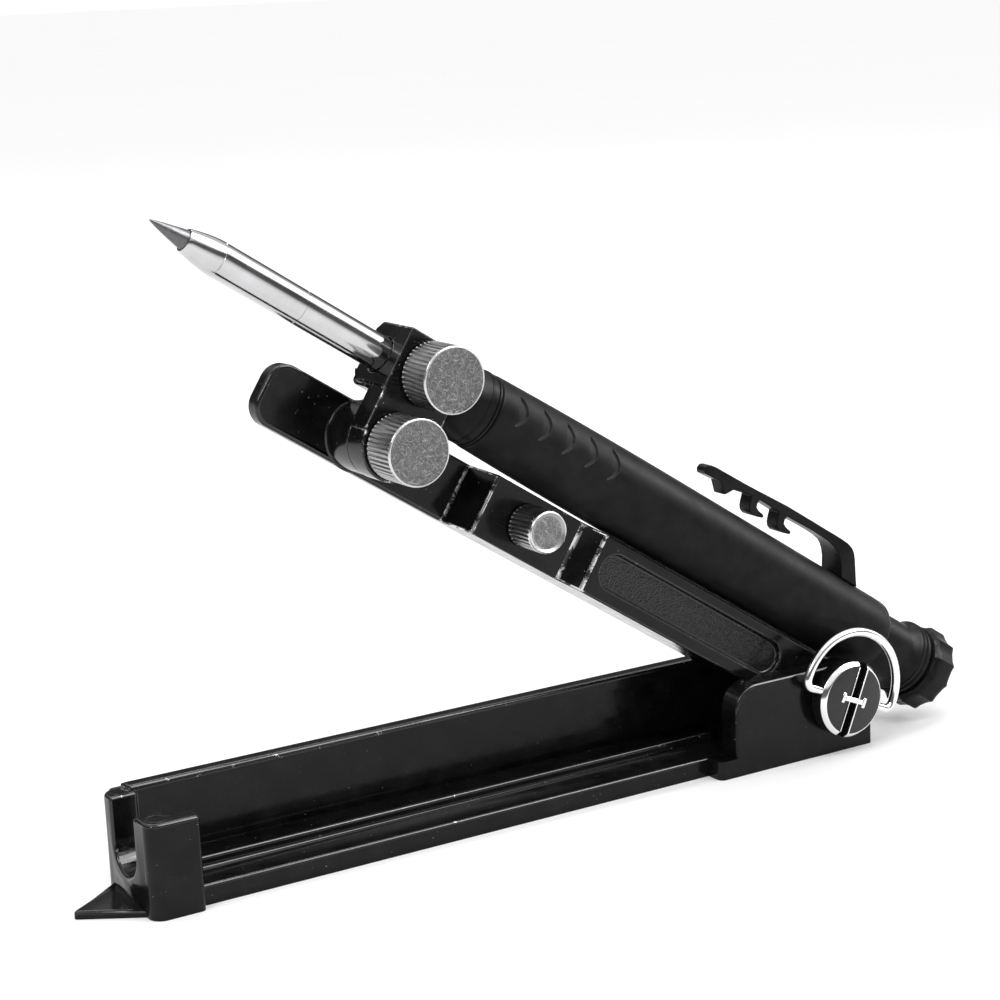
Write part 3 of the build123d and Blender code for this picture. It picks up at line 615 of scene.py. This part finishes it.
def block(name, centre, half_sizes, materials, bevel_mm=0.0):
    """Rounded bar on the screw's own axes: along the ring's pivot line, along the coin slot, and forward."""
    axes = (RING_LINE, SLOT_LINE, FRONT)

    def corner(*signs):
        return centre + sum((axis * half * sign * MM for axis, half, sign in zip(axes, half_sizes, signs)), Vector())

    corners = [corner(a, b, side) for side in (-1, 1) for a, b in ((-1, -1), (1, -1), (1, 1), (-1, 1))]
    faces = [(3, 2, 1, 0), (4, 5, 6, 7)] + [(k, (k + 1) % 4, (k + 1) % 4 + 4, k + 4) for k in range(4)]
    piece = new_object(name, corners, faces, materials)
    bm = bmesh.new()
    bm.from_mesh(piece.data)
    if bevel_mm:
        bmesh.ops.bevel(bm, geom=list(bm.edges), offset=bevel_mm * MM, segments=BEVEL_SEGMENTS, profile=0.5,
                         affect="EDGES")
    bmesh.ops.recalc_face_normals(bm, faces=bm.faces)
    bm.to_mesh(piece.data)
    bm.free()
    piece.data.polygons.foreach_set("use_smooth", [True] * len(piece.data.polygons))
    sharpen(piece, 35)
    return piece


def cut(piece, cutter):
    """Takes the cutter out of the piece; the cut's walls keep the cutter's material."""
    boolean = piece.modifiers.new("cut", "BOOLEAN")
    boolean.operation = "DIFFERENCE"
    boolean.solver = "EXACT"
    boolean.material_mode = "TRANSFER"
    boolean.object = cutter
    bpy.context.view_layer.update()
    mesh = bpy.data.meshes.new_from_object(piece.evaluated_get(bpy.context.evaluated_depsgraph_get()))
    piece.modifiers.clear()
    piece.data = mesh
    bpy.data.objects.remove(cutter)
    sharpen(piece, 30)


def hinge_screw():
    """Black head with a chrome bevel around a black face, a coin slot and a bridge across it."""
    low, high = span("hinge_screw")
    head_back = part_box("screw_washer")[0][1]
    radius = (high[0] - low[0]) / 2 / MM
    height = (head_back - low[2]) / MM
    shank = (high[2] - head_back) / MM
    profile = [(-shank, 0), (-shank, 2.2), (-shank + 0.3, 2.5), (0, 2.5), (0, radius - 0.25), (0.1, radius - 0.08),
               (0.25, radius), (height - 0.95, radius, 1), (height - 0.85, radius - 0.05, 1),
               (height - 0.42, radius - 0.45, 1), (height - 0.30, radius - 0.60, 1), (height - 0.24, radius - 0.72, 2),
               (height - 0.24, 0)]
    screw = lathe("hinge_screw_head", profile, [HEAD_SIDE, RING_CHROME, FACE_PLATE], Vector((0, head_back, HINGE.z)),
                  FRONT, SLOT_LINE, 160)
    front = Vector((0, low[2], HINGE.z))
    cut(screw, block("slot_cutter", front - FRONT * 0.4 * MM, (0.85, radius + 1, 1.15), [HEAD_SIDE]))
    stand_for(screw, "hinge_screw")
    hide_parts("screw_face")
    parts = {"bridge_bar": (0, 1.9, 0.42), "bridge_left": (-2.2, 0.34, 0.85), "bridge_right": (2.2, 0.34, 0.85)}
    for name, (offset, half_length, half_width) in parts.items():
        piece = block(name, front + RING_LINE * offset * MM - FRONT * 0.5 * MM, (half_length, half_width, 0.5),
                      [RING_CHROME], 0.16)
        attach(piece, nodes["hinge_screw"]["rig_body"])
    for side, name, half_width in ((-1, "slot_lip_left", 0.09), (1, "slot_lip_right", 0.13)):
        lip = block(name, front + RING_LINE * side * 0.86 * MM - FRONT * 0.2 * MM,
                    (half_width, radius - 0.85, 0.16), [RING_CHROME], 0.06)
        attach(lip, nodes["hinge_screw"]["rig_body"])


hinge_screw()


def d_ring():
    """Bent chrome wire: two pins on the pivot line, tight corners and a half circle."""
    wire, bend, leg, radius, pin = 0.72, 1.3, 1.6, 9.3, 4.9
    path = [(-pin, 0)] + arc((-radius + bend, bend), bend, 270, 180, 8)
    path += arc((0, leg), radius, 180, 0, 49)
    path += arc((radius - bend, bend), bend, 0, -90, 8) + [(pin, 0)]
    curve = bpy.data.curves.new("d_ring_wire", "CURVE")
    curve.dimensions = "3D"
    curve.bevel_depth = wire * MM
    curve.bevel_resolution = 6
    curve.use_fill_caps = True
    spline = curve.splines.new("POLY")
    spline.points.add(len(path) - 1)
    for point, (a, b) in zip(spline.points, path):
        point.co = (*(RING_AT + (RING_LINE * a + SLOT_LINE * b) * MM), 1)
    spline.use_smooth = True
    curve.materials.append(RING_CHROME)
    piece = bpy.data.objects.new("d_ring_wire", curve)
    bpy.context.scene.collection.objects.link(piece)
    stand_for(piece, "d_ring")


d_ring()

# ================= pencil =================

BULLET = [k / 12 for k in range(1, 13)]


def nose_tube():
    low, high = span("nose_tube")
    radius = (high[1] - low[1]) / 2 / MM
    end, tip = low[0] / MM, high[0] / MM
    step, cone, bore = 113.6, 127.7, 2.2
    profile = [(end, radius)]
    for seam, depth in ((step, 0.09), (cone, 0.06)):
        profile += [(seam - 0.08, radius), (seam - 0.03, radius - depth), (seam + 0.03, radius - depth),
                    (seam + 0.08, radius)]
    profile += [(cone + (tip - 0.15 - cone) * t, radius - (radius - 1.74) * t ** 1.6) for t in BULLET]
    profile += [(tip, 1.66), (tip, 1.45), (tip - 2.5, 1.45), (tip - 3.5, bore), (end, bore)]
    piece = lathe("nose_tube_chrome", profile, [CHROME], turns=128)
    sharpen(piece, 40)
    stand_for(piece, "nose_tube")


def lead():
    low, high = span("lead")
    base, tip, radius = 133.1, high[0] / MM, 1.4
    profile = [(low[0] / MM, 0), (low[0] / MM, radius), (base, radius), (base + 0.25, radius - 0.03)]
    steps = 14
    for k in range(1, steps):
        t = k / steps
        blunt = 0.30 * math.sqrt(max(0.0, 1 - t)) * t
        profile.append((base + 0.25 + (tip - base - 0.25) * t, (radius - 0.03) * (1 - t) + blunt))
    profile.append((tip, 0))

    def shaved(along, turn, r):
        """Faint facets left by the sharpener."""
        if along < base + 0.3:
            return r
        return r * (1 + 0.010 * math.sin(5 * turn + along) + 0.006 * math.sin(9 * turn - 2 * along))
    piece = lathe("lead_sharpened", profile, [LEAD], turns=64, shape=shaved)
    sharpen(piece, 60)
    stand_for(piece, "lead")


def ferrule():
    low, high = span("ferrule")
    front, joint, radius = high[0] / MM, 80.3, 5.78
    nose = 3.7
    curve = [(front - 5.4 + 5.4 * t, radius - 0.05 - (radius - 0.05 - nose - 0.35) * t ** 1.9)
             for t in np.linspace(0, 1, 16)]
    profile = [(low[0] / MM, 4.0), (joint + 0.05, 4.0), (joint + 0.05, radius - 0.25), (joint + 0.2, radius)]
    for groove in (80.85, 81.95):
        profile += [(groove, radius), (groove + 0.06, radius - 0.17), (groove + 0.24, radius - 0.17),
                    (groove + 0.30, radius - 0.01)]
    profile += [*curve, (front - 0.08, nose + 0.18), (front, nose), (front, 2.68), (low[0] / MM, 2.68)]
    piece = lathe("ferrule_smooth", [(float(a), float(b)) for a, b in profile], [CAP_PLASTIC], turns=128)
    sharpen(piece, 40)
    stand_for(piece, "ferrule")


LEAF_U, LEAF_PITCH, LEAVES = 58.7, 4.6, 5
LEAF_MIDDLE, LEAF_SPAN = 66.0, 25.0
LEAF_WALL = 0.20


def leaf_depth(along, turn):
    """Depth of the finger scallops: a straight wall on the nose side, a rising floor and a curved rear edge."""
    from_top = math.degrees(min(turn, 2 * math.pi - turn))
    across = (from_top - LEAF_MIDDLE) / LEAF_SPAN
    if abs(across) >= 1:
        return 0.0
    bulge = 1 - across * across
    width = LEAF_WALL + 1.45 * bulge
    for k in range(LEAVES):
        back = LEAF_U + k * LEAF_PITCH - along
        if 0 < back < width:
            floor_depth = 0.50 - 0.20 * min(1.0, back / (width - LEAF_WALL))
            return floor_depth * min(1.0, (width - back) / LEAF_WALL) * min(1.0, bulge * 5)
    return 0.0


def barrel():
    rear, front = -5.8, 80.3
    ends, belly = (6.3, 5.85), 6.35
    fine = np.arange(LEAF_U - 1.6, LEAF_U + (LEAVES - 1) * LEAF_PITCH + 0.8, 0.13)
    walls = [LEAF_U + k * LEAF_PITCH + gap for k in range(LEAVES) for gap in (-0.03, 0.01)]
    stations = sorted({*np.linspace(rear + 2.6, fine[0] - 0.3, 26), *fine, *walls,
                       *np.linspace(fine[-1] + 0.3, front - 0.3, 6)})

    def outside(u):
        side = (u - 45.0) / ((front if u > 45.0 else rear) - 45.0)
        return belly - (belly - ends[1 if u > 45.0 else 0]) * side * side

    profile = [(rear, 5.17), (rear, 5.28)] + arc((rear + 1.0, 5.28), 1.0, 180, 100, 9)
    profile += [(float(u), outside(float(u)), 1 if fine[0] < u < fine[-1] else 0) for u in stations]
    profile += [(front - 0.12, ends[1] - 0.05), (front, ends[1] - 0.22), (front, 4.02), (24.0, 4.02), (24.0, 5.17)]
    piece = lathe("barrel_moulded", profile, [PLASTIC, GRIP_PLASTIC], turns=288,
                  shape=lambda along, turn, r: r - leaf_depth(along, turn) if r > 5.9 else r)
    sharpen(piece, 38)
    stand_for(piece, "barrel")


def push_sleeve():
    neck, collar, front, flare, back = 5.1, 5.95, 12.0, -12.0, -16.1
    profile = [(front, 1.5), (front, neck - 0.2), (front - 0.2, neck), (flare, neck)]
    profile += [(flare - 1.9 * t, neck + (collar - neck) * t ** 1.7) for t in np.linspace(0.15, 1, 8)]
    for bead in (-14.25, -15.25):
        profile += [(bead + 0.18, collar), (bead + 0.13, collar + 0.15), (bead, collar + 0.23),
                    (bead - 0.13, collar + 0.15), (bead - 0.18, collar)]
    profile += [(back + 0.12, collar), (back, collar - 0.3), (back, 4.4), (-18.4, 4.4), (-18.4, 2.6), (10.0, 2.6),
                (10.0, 1.5)]
    piece = lathe("push_sleeve_smooth", [(float(a), float(b)) for a, b in profile], [CAP_PLASTIC], turns=144)
    sharpen(piece, 40)
    stand_for(piece, "push_sleeve")


def fluted_cap():
    low, high = span("fluted_cap")
    end, front = low[0] / MM, high[0] / MM
    ridges, ridge_r, dip = 12, 6.98, 0.52
    profile = [(front, 4.46), (front, 6.0), (front - 0.1, 6.25), (front - 0.45, 6.5), (front - 0.8, 6.88),
               (front - 1.0, ridge_r), (front - 1.6, ridge_r), (end + 0.9, ridge_r), (end + 0.4, ridge_r - 0.06),
               (end + 0.1, ridge_r - 0.3), (end, ridge_r - 0.6), (end, 4.6), (end + 0.15, 4.2),
               (end + 0.15, 3.12), (-18.7, 3.12), (-18.7, 4.46)]

    def facets(along, turn, r):
        if r < 6.2:
            return r
        phase = (turn * ridges / (2 * math.pi) + 0.35) % 1.0
        hollow = 1 - (2 * phase - 1) ** 2
        return r - dip * hollow * min(1.0, (r - 6.2) / 0.4)
    piece = lathe("fluted_cap_moulded", profile, [CAP_PLASTIC], turns=ridges * 14, shape=facets)
    sharpen(piece, 34)
    stand_for(piece, "fluted_cap")


def pocket_clip():
    """Sprung clip with a tooth and two hooks, narrow along the pencil and wider at its root."""
    def hook(u):
        return [(u, 10.15), (u - 0.25, 9.2), (u - 0.55, 8.3), (u - 1.05, 7.75), (u - 1.7, 7.5), (u - 2.9, 7.7),
                (u - 3.8, 7.95), (u - 4.0, 8.25), (u - 3.7, 8.5), (u - 2.6, 8.65), (u - 1.95, 8.95), (u - 1.75, 9.5),
                (u - 1.9, 10.2)]
    top = [(2.2, 6.0), (3.0, 7.0), (4.0, 8.4), (5.1, 9.9), (5.8, 10.65), (6.6, 11.15), (7.6, 11.45), (8.8, 11.6),
           (10.4, 11.7), (12.4, 11.74), (15.0, 11.75), (21.5, 11.7), (30.1, 11.25), (37.6, 11.05)]
    tip = [(38.4, 10.95), (39.0, 10.65), (39.25, 10.2), (39.15, 9.6), (38.7, 9.3)]
    under = [(37.4, 9.35), (35.6, 9.5), (34.6, 8.6), (33.9, 7.95), (33.4, 8.4), (32.6, 9.4), (31.6, 9.65)]
    under += [*hook(28.9), *hook(22.5), (14.5, 10.4), (12.4, 10.35), (10.8, 10.2), (9.6, 9.85), (8.6, 9.3),
              (7.6, 8.4), (6.8, 7.2), (6.1, 6.0)]
    outline = top + tip + under

    def half_width(u):
        t = min(1.0, max(0.0, (u - 6.5) / 6.0))
        return 2.6 - 1.2 * t * t * (3 - 2 * t) - 0.35 * max(0.0, (u - 37.6) / 1.7) ** 2

    verts = [PEN_ORIGIN + (U * u + V * v + Y * side * half_width(u)) * MM for side in (-1, 1) for u, v in outline]
    count = len(outline)
    faces = [tuple(range(count)), tuple(range(2 * count - 1, count - 1, -1))]
    faces += [(k, k + count, (k + 1) % count + count, (k + 1) % count) for k in range(count)]
    piece = new_object("pocket_clip_moulded", verts, faces, [CLIP_PLASTIC])
    bm = bmesh.new()
    bm.from_mesh(piece.data)
    bmesh.ops.recalc_face_normals(bm, faces=bm.faces)
    bmesh.ops.triangulate(bm, faces=[f for f in bm.faces if len(f.verts) > 4])
    bm.to_mesh(piece.data)
    bm.free()
    sharpen(piece, 32)
    bevel = piece.modifiers.new("rounded_edges", "BEVEL")
    bevel.width = 0.28 * MM
    bevel.segments = BEVEL_SEGMENTS
    bevel.limit_method = "ANGLE"
    bevel.angle_limit = math.radians(60)
    bevel.harden_normals = True
    stand_for(piece, "pocket_clip")


nose_tube()
lead()
ferrule()
barrel()
push_sleeve()
fluted_cap()
pocket_clip()
stand_for(copy_of("sharpener", "sharpener_insert", [GREY_PLASTIC], 0.15), "sharpener")

# ================= stage: camera, light and floor =================

AZIMUTH, ELEVATION, ROLL = math.radians(-31.02), math.radians(12.48), math.radians(-2.51)
CAMERA_AT = Vector((-0.23169, -0.29304, 0.12379))
LENS_MM = 84.56


def aim(azimuth, elevation, roll=0.0):
    """Rotation of a camera or lamp that looks back along the direction (azimuth, elevation)."""
    back = Vector((math.sin(azimuth) * math.cos(elevation), -math.cos(azimuth) * math.cos(elevation),
                   math.sin(elevation)))
    right = Vector((math.cos(azimuth), math.sin(azimuth), 0))
    up = back.cross(right)
    x = right * math.cos(roll) + up * math.sin(roll)
    y = up * math.cos(roll) - right * math.sin(roll)
    return Matrix((x, y, back)).transposed()


camera_data = bpy.data.cameras.new("camera")
camera_data.lens = LENS_MM
camera_data.sensor_width = 36.0
camera_data.clip_start = 0.01
camera = bpy.data.objects.new("camera", camera_data)
camera.matrix_world = Matrix.Translation(CAMERA_AT) @ aim(AZIMUTH, ELEVATION, ROLL).to_4x4()
bpy.context.scene.collection.objects.link(camera)
bpy.context.scene.camera = camera


def softbox(name, azimuth_deg, elevation_deg, distance, size, watts):
    """Oblong soft light aimed at the middle of the object."""
    data = bpy.data.lights.new(name, "AREA")
    data.shape = "RECTANGLE"
    data.size, data.size_y = size
    data.energy = watts
    azimuth, elevation = math.radians(azimuth_deg), math.radians(elevation_deg)
    back = aim(azimuth, elevation).col[2]
    middle = Vector([(a + b) / 2 for a, b in zip(*cad_box)])
    lamp = bpy.data.objects.new(name, data)
    lamp.matrix_world = Matrix.Translation(middle + back * distance) @ aim(azimuth, elevation).to_4x4()
    bpy.context.scene.collection.objects.link(lamp)


softbox("key", -68, 38, 0.9, (0.08, 0.30), 1.6)
softbox("front", -10, 62, 1.0, (0.40, 0.06), 1.2)
softbox("fill", 48, 44, 1.0, (0.10, 0.30), 1.4)
softbox("side", 82, 24, 1.0, (0.08, 0.30), 1.2)
softbox("back", 165, 50, 1.0, (0.50, 0.12), 1.6)


# White panels that only reflections see: direction, cosine at the faded edge and inside it, brightness.
PANELS = (((0.50, -0.35, 0.79), 0.88, 0.95, 8.0),
          ((0.92, -0.12, 0.37), 0.93, 0.975, 2.2))


def studio_world():
    """White surroundings; what shines sees a dark band between the pale floor and the bright ceiling, and panels."""
    world = bpy.data.worlds.new("studio")
    world.use_nodes = True
    tree = world.node_tree

    def vector_math(operation, first, second):
        made = tree.nodes.new("ShaderNodeVectorMath")
        made.operation = operation
        tree.links.new(first, made.inputs[0])
        if isinstance(second, tuple):
            made.inputs[1].default_value = second
        else:
            tree.links.new(second, made.inputs[1])
        return made

    direction = tree.nodes.new("ShaderNodeTexCoord").outputs["Generated"]
    height = tree.nodes.new("ShaderNodeSeparateXYZ")
    ramp = tree.nodes.new("ShaderNodeValToRGB")
    lightness = {0.02: 0.85, 0.10: 0.16, 0.36: 0.10, 0.50: 0.9, 0.80: 1.0}
    while len(ramp.color_ramp.elements) < len(lightness):
        ramp.color_ramp.elements.new(0.5)
    for element, (place, value) in zip(ramp.color_ramp.elements, lightness.items()):
        element.position = place
        element.color = (value, value, value, 1)
    tree.links.new(direction, height.inputs["Vector"])
    tree.links.new(height.outputs["Z"], ramp.inputs["Fac"])
    seen = ramp.outputs["Color"]
    for toward, edge, inside, brightness in PANELS:
        panel = tree.nodes.new("ShaderNodeMapRange")
        for socket, value in (("From Min", edge), ("From Max", inside), ("To Max", brightness)):
            panel.inputs[socket].default_value = value
        middle = vector_math("DOT_PRODUCT", direction, tuple(Vector(toward).normalized()))
        tree.links.new(middle.outputs["Value"], panel.inputs["Value"])
        seen = vector_math("ADD", seen, panel.outputs["Result"]).outputs["Vector"]
    rays = tree.nodes.new("ShaderNodeLightPath")
    mix = tree.nodes.new("ShaderNodeMix")
    mix.data_type = "RGBA"
    mix.inputs[6].default_value = (1, 1, 1, 1)
    tree.links.new(seen, mix.inputs[7])
    tree.links.new(rays.outputs["Is Glossy Ray"], mix.inputs["Factor"])
    tree.links.new(mix.outputs[2], tree.nodes["Background"].inputs["Color"])
    tree.nodes["Background"].inputs["Strength"].default_value = 1.0
    bpy.context.scene.world = world


studio_world()
bpy.context.scene.view_settings.view_transform = "Standard"

FLOOR_SIZE = 40.0
floor_shader = Shader("floor_white")
floor_shader.to("Base Color", floor_shader.mix(floor_shader.noise(3, 2), (0.94,) * 3, (0.96,) * 3))
floor_shader.set(Roughness=0.9, Specular_IOR_Level=0.0)
floor_z = cad_box[0][2]
half = FLOOR_SIZE / 2
floor_corners = [(-half, -half, floor_z), (half, -half, floor_z), (half, half, floor_z), (-half, half, floor_z)]
floor = new_object("floor", floor_corners, [(0, 1, 2, 3)], [floor_shader.material], smooth=False)
